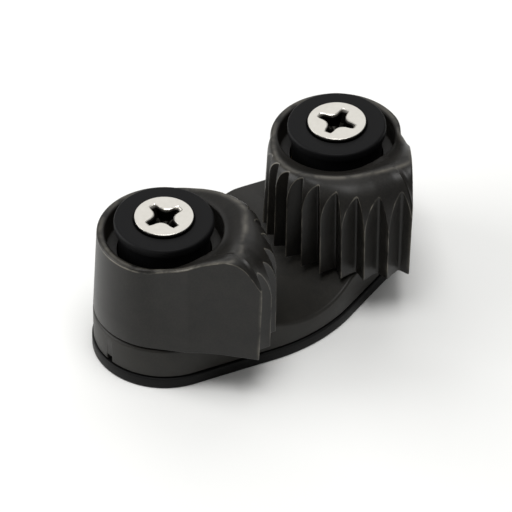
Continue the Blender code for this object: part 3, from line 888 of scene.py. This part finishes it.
def add_node(tree, kind, settings=(), links=()):
    """Add a node. Settings and links are (socket or field name, value or source) pairs."""
    made = tree.nodes.new("ShaderNode" + kind)
    for name, value in settings:
        if isinstance(name, int) or name in made.inputs:
            made.inputs[name].default_value = value
        else:
            setattr(made, name, value)
    for name, source in links:
        tree.links.new(source, made.inputs[name])
    return made


def new_material(name, settings):
    """A material whose Principled shader has these constants on its own sockets."""
    made = bpy.data.materials.new(name)
    made.use_nodes = True
    shader = made.node_tree.nodes["Principled BSDF"]
    for socket, value in settings:
        shader.inputs[socket].default_value = value
    return made, made.node_tree, shader


def scale_of(size):
    """Noise scale for features of this size in metres."""
    return 1.0 / size


# %% [markdown]
# ## Glass-filled nylon
# The cams and the deck are nylon with short glass fibres, moulded in a steel tool. That
# gives the eye a dark, warm grey with a broad, soft shine. Close up it is slightly cloudy
# where the melt flowed, and the fibres near the skin make a fine grain that breaks up the
# shine. Marked edges get a painted highlight in a lighter colour, and less roughness.

# %% Nylon for the cams and the deck
FLOW_SIZE = 3.5 * MM
FIBRE_SIZE = 0.30 * MM
GRAIN_SIZE = 0.14 * MM
WAVE_HEIGHT = 0.05 * MM
GRAIN_HEIGHT = 0.012 * MM


def filled_nylon(name, dark, light, edge_highlight, rough):
    made, tree, shader = new_material(name, [("IOR", 1.53), ("Specular IOR Level", 0.25)])
    place = add_node(tree, "TexCoord").outputs["Object"]
    flow = add_node(tree, "TexNoise", [("Scale", scale_of(FLOW_SIZE)), ("Detail", 4.0),
                                       ("Distortion", 0.6)], [("Vector", place)])
    fibre = add_node(tree, "TexNoise", [("Scale", scale_of(FIBRE_SIZE)), ("Detail", 2.0)],
                     [("Vector", place)])
    clouds = add_node(tree, "MapRange", [("From Min", 0.35), ("From Max", 0.65)],
                      [("Value", flow.outputs["Fac"])])
    specks = add_node(tree, "MapRange", [("From Min", 0.42), ("From Max", 0.62),
                                         ("To Max", 0.5)], [("Value", fibre.outputs["Fac"])])
    share = add_node(tree, "Math", [("operation", "MULTIPLY_ADD"), (1, 0.5)],
                     [(0, clouds.outputs[0]), (2, specks.outputs[0])])
    body = add_node(tree, "Mix", [("data_type", "RGBA"), (6, linear(dark)), (7, linear(light))],
                    [(0, share.outputs[0])])
    # Painted highlight: where the edge value is high, the colour turns towards the lighter edge colour
    # and the roughness drops.
    edge = add_node(tree, "Attribute", [("attribute_name", "edge")])
    highlight_and_gloss = add_node(tree, "Math", [("operation", "MULTIPLY")],
                    [(0, edge.outputs["Fac"]), (1, clouds.outputs[0])])
    coloured = add_node(tree, "Mix", [("data_type", "RGBA"), (7, linear(edge_highlight))],
                        [(0, highlight_and_gloss.outputs[0]), (6, body.outputs[2])])
    tree.links.new(coloured.outputs[2], shader.inputs["Base Color"])
    dullness = add_node(tree, "MapRange", [("To Min", rough - 0.05), ("To Max", rough + 0.06)],
                        [("Value", fibre.outputs["Fac"])])
    polished = add_node(tree, "Math", [("operation", "MULTIPLY_ADD"), (1, -0.1)],
                        [(0, highlight_and_gloss.outputs[0]), (2, dullness.outputs[0])])
    tree.links.new(polished.outputs[0], shader.inputs["Roughness"])
    grain = add_node(tree, "TexNoise", [("Scale", scale_of(GRAIN_SIZE)), ("Detail", 2.0)],
                     [("Vector", place)])
    waves = add_node(tree, "Bump", [("Strength", 0.25), ("Distance", WAVE_HEIGHT)],
                     [("Height", flow.outputs["Fac"])])
    relief = add_node(tree, "Bump", [("Strength", 0.35), ("Distance", GRAIN_HEIGHT)],
                      [("Height", grain.outputs["Fac"]), ("Normal", waves.outputs[0])])
    tree.links.new(relief.outputs[0], shader.inputs["Normal"])
    return made


# The third colour of each nylon is its painted edge highlight.
cam_nylon = filled_nylon("glass_filled_nylon_cam", "#131210", "#1e1c19", "#6e6a61", 0.38)
deck_nylon = filled_nylon("glass_filled_nylon_deck", "#181714", "#22201c", "#403e38", 0.46)
for cam in cams.values():
    cam.data.materials.append(cam_nylon)
deck.data.materials.clear()
deck.data.materials.append(deck_nylon)
print("nylon grain", GRAIN_SIZE / MM, "mm, flow clouds", FLOW_SIZE / MM, "mm")

# %% [markdown]
# ## Black mouldings
# The plate under the deck and the caps are black through and through. The plate is nylon
# without much gloss. The caps are acetal, which is harder and slicker, so they get a lower
# roughness and only a faint ripple.

# %% Black nylon and black acetal
CLOUD_SIZE = 1.2 * MM
TEXTURE_SIZE = 0.16 * MM


def black_moulding(name, dark, light, rough, ripple):
    made, tree, shader = new_material(name, [("IOR", 1.48), ("Specular IOR Level", 0.12)])
    place = add_node(tree, "TexCoord").outputs["Object"]
    cloud = add_node(tree, "TexNoise", [("Scale", scale_of(CLOUD_SIZE)), ("Detail", 4.0)],
                     [("Vector", place)])
    body = add_node(tree, "Mix", [("data_type", "RGBA"), (6, linear(dark)), (7, linear(light))],
                    [(0, cloud.outputs["Fac"])])
    tree.links.new(body.outputs[2], shader.inputs["Base Color"])
    dullness = add_node(tree, "MapRange", [("To Min", rough - 0.06), ("To Max", rough + 0.08)],
                        [("Value", cloud.outputs["Fac"])])
    tree.links.new(dullness.outputs[0], shader.inputs["Roughness"])
    grain = add_node(tree, "TexNoise", [("Scale", scale_of(TEXTURE_SIZE)), ("Detail", 2.0)],
                     [("Vector", place)])
    relief = add_node(tree, "Bump", [("Strength", ripple), ("Distance", 0.01 * MM)],
                      [("Height", grain.outputs["Fac"])])
    tree.links.new(relief.outputs[0], shader.inputs["Normal"])
    return made


plate_nylon = black_moulding("black_nylon_plate", "#0b0b0b", "#131313", 0.46, 0.4)
post_acetal = black_moulding("black_acetal_post", "#09090a", "#101011", 0.52, 0.22)
plate.data.materials.clear()
plate.data.materials.append(plate_nylon)
for name in SIDES:
    bpy.data.objects["bearing_post_" + name].data.materials.append(post_acetal)
print("black mouldings done")

# %% [markdown]
# ## Stainless steel
# The screw heads are cold-headed stainless, tumbled clean. That gives a bright, warm grey
# with a satin shine, very fine random scratches, and a faint ring pattern from the header
# tool. A metal has no diffuse colour: its tint is in the reflection, and roughness does the
# rest. Below the face the colour is darkened as painted shade, for the shadow inside the driver
# recess.

# %% Stainless for screws and springs
# Where the painted shade in the cross recess begins, and how fast it deepens.
RECESS_SHADE_TOP = HEAD_TOP - 0.1 * MM
RECESS_SHADE_FADE = 0.5 * MM
NO_RECESS_SHADE = -1.0
RING_STEP = 0.5 * MM


def stainless(name, low, high, rough, scratch, shade_top):
    made, tree, shader = new_material(name, [("Metallic", 1.0)])
    place = add_node(tree, "TexCoord").outputs["Object"]
    cloud = add_node(tree, "TexNoise", [("Scale", scale_of(0.8 * MM)), ("Detail", 5.0)],
                     [("Vector", place)])
    body = add_node(tree, "Mix", [("data_type", "RGBA"), (6, linear(low)), (7, linear(high))],
                    [(0, cloud.outputs["Fac"])])
    height = add_node(tree, "SeparateXYZ", (), [("Vector", place)]).outputs["Z"]
    # Painted shade: below the screw face the steel turns dark, which shows as shadow in the cross
    # recess.
    recess_shade = add_node(tree, "MapRange", [("From Min", shade_top), ("From Max", shade_top - RECESS_SHADE_FADE)],
                     [("Value", height)])
    shaded = add_node(tree, "Mix", [("data_type", "RGBA"), (7, linear("#1a1917"))],
                      [(0, recess_shade.outputs[0]), (6, body.outputs[2])])
    tree.links.new(shaded.outputs[2], shader.inputs["Base Color"])
    rings = add_node(tree, "TexWave", [("wave_type", "RINGS"), ("rings_direction", "Z"),
                                       ("Scale", scale_of(RING_STEP)), ("Distortion", 3.0),
                                       ("Detail", 3.0)], [("Vector", place)])
    dullness = add_node(tree, "MapRange", [("To Min", rough - 0.05), ("To Max", rough + 0.06)],
                        [("Value", cloud.outputs["Fac"])])
    tree.links.new(dullness.outputs[0], shader.inputs["Roughness"])
    relief = add_node(tree, "Bump", [("Strength", scratch), ("Distance", 0.004 * MM)],
                      [("Height", rings.outputs["Fac"])])
    tree.links.new(relief.outputs[0], shader.inputs["Normal"])
    return made


screw_steel = stainless("cold_headed_stainless", "#c9c6be", "#d8d5ce", 0.33, 0.3, RECESS_SHADE_TOP)
spring_steel = stainless("drawn_spring_wire", "#a9a8a4", "#bcbbb7", 0.28, 0.15, NO_RECESS_SHADE)
for name in SIDES:
    screw = bpy.data.objects["screw_" + name]
    screw.data.materials.clear()
    screw.data.materials.append(screw_steel)
    springs[name].data.materials.append(spring_steel)
print("steel done")

# %% [markdown]
# ## Balls and washers
# The balls are a hard amber bearing plastic, tumbled smooth. The washers are natural acetal,
# a milky white plastic that lets a little light in.

# %% Bearing plastics


def bearing_plastic(name, low, high, rough, extra):
    made, tree, shader = new_material(name, [("IOR", 1.5)] + extra)
    place = add_node(tree, "TexCoord").outputs["Object"]
    cloud = add_node(tree, "TexNoise", [("Scale", scale_of(0.6 * MM)), ("Detail", 3.0)],
                     [("Vector", place)])
    body = add_node(tree, "Mix", [("data_type", "RGBA"), (6, linear(low)), (7, linear(high))],
                    [(0, cloud.outputs["Fac"])])
    tree.links.new(body.outputs[2], shader.inputs["Base Color"])
    dullness = add_node(tree, "MapRange", [("To Min", rough - 0.04), ("To Max", rough + 0.05)],
                        [("Value", cloud.outputs["Fac"])])
    tree.links.new(dullness.outputs[0], shader.inputs["Roughness"])
    return made


ball_plastic = bearing_plastic("polished_bearing_plastic", "#7c6a3a", "#8c7845", 0.22, [])
washer_acetal = bearing_plastic("natural_acetal", "#d9d7cd", "#e6e4db", 0.42,
                                [("Subsurface Weight", 0.1), ("Subsurface Scale", 0.5 * MM)])
for name in SIDES:
    bpy.data.objects["bearing_balls_" + name].data.materials.append(ball_plastic)
    bpy.data.objects["ball_washer_" + name].data.materials.append(washer_acetal)
print("bearing plastics done")

# %% [markdown]
# ## The studio
# A dark object on a pale floor needs large, soft lights, so that its edges show as smooth
# bright lines. A box overhead makes the floor bright and draws a thin line along each rim.
# A wide box behind is mirrored in the screw heads, and a third one at the left lights the
# round ends of the walls.

# %% Floor, sky and lights
floor_mesh = prism("floor", [(-2.0, -2.0), (2.0, -2.0), (2.0, 2.0), (-2.0, 2.0)], -0.02, -0.0001)
floor = finish_piece("studio_floor", floor_mesh)
floor_paint = new_material("matte_white_floor", [
    ("Base Color", linear("#f4f4f2")), ("Roughness", 0.9), ("Specular IOR Level", 0.1)])[0]
floor.data.materials.append(floor_paint)

sky = bpy.data.worlds.new("studio_sky")
sky.use_nodes = True
sky.node_tree.nodes["Background"].inputs["Color"].default_value = linear("#ffffff")
sky.node_tree.nodes["Background"].inputs["Strength"].default_value = 0.3
bpy.context.scene.world = sky


def soft_box(name, azimuth, elevation, distance, size, radiance):
    """A square light that faces the object; azimuth 0 stands at -Y, as the camera's does."""
    lamp = bpy.data.lights.new(name, "AREA")
    lamp.shape = "SQUARE"
    lamp.size = size
    lamp.energy = radiance * math.pi * size ** 2
    body = bpy.data.objects.new(name, lamp)
    a, e = math.radians(azimuth), math.radians(elevation)
    away = Vector((math.sin(a) * math.cos(e), -math.cos(a) * math.cos(e), math.sin(e)))
    body.location = away * distance
    body.rotation_euler = away.to_track_quat("Z", "Y").to_euler()
    bpy.context.scene.collection.objects.link(body)
    return body


soft_box("top_box", -30, 80, 0.6, 0.3, 7.0)
soft_box("back_box", 140, 48, 0.55, 0.55, 0.9)
soft_box("left_box", -135, 22, 0.55, 0.4, 4.2)
print("three soft boxes")

# %% [markdown]
# ## The camera
# A long lens far away keeps the cleat's edges nearly parallel, as in a catalogue picture.

# %% Camera
CAMERA_AZIMUTH = math.radians(-40.55)
CAMERA_ELEVATION = math.radians(40.91)
CAMERA_DISTANCE = 1.0
VIEW_WIDTH = 87.33 * MM
SENSOR = 36.0
AIM_RIGHT = 0.805 * MM
AIM_UP = 5.924 * MM

camera_data = bpy.data.cameras.new("camera")
camera = bpy.data.objects.new("camera", camera_data)
back = Vector((math.sin(CAMERA_AZIMUTH) * math.cos(CAMERA_ELEVATION),
               -math.cos(CAMERA_AZIMUTH) * math.cos(CAMERA_ELEVATION),
               math.sin(CAMERA_ELEVATION)))
right = Vector((math.cos(CAMERA_AZIMUTH), math.sin(CAMERA_AZIMUTH), 0.0))
up = back.cross(right)
aim = right * AIM_RIGHT + up * AIM_UP
camera.location = aim + back * CAMERA_DISTANCE
camera.rotation_euler = Matrix((right, up, back)).transposed().to_euler()
camera_data.sensor_width = SENSOR
camera_data.lens = SENSOR * CAMERA_DISTANCE / VIEW_WIDTH
camera_data.clip_start = 0.01
bpy.context.scene.collection.objects.link(camera)
bpy.context.scene.camera = camera
bpy.context.scene.view_settings.view_transform = "Standard"
print(f"lens {camera_data.lens:.0f} mm")
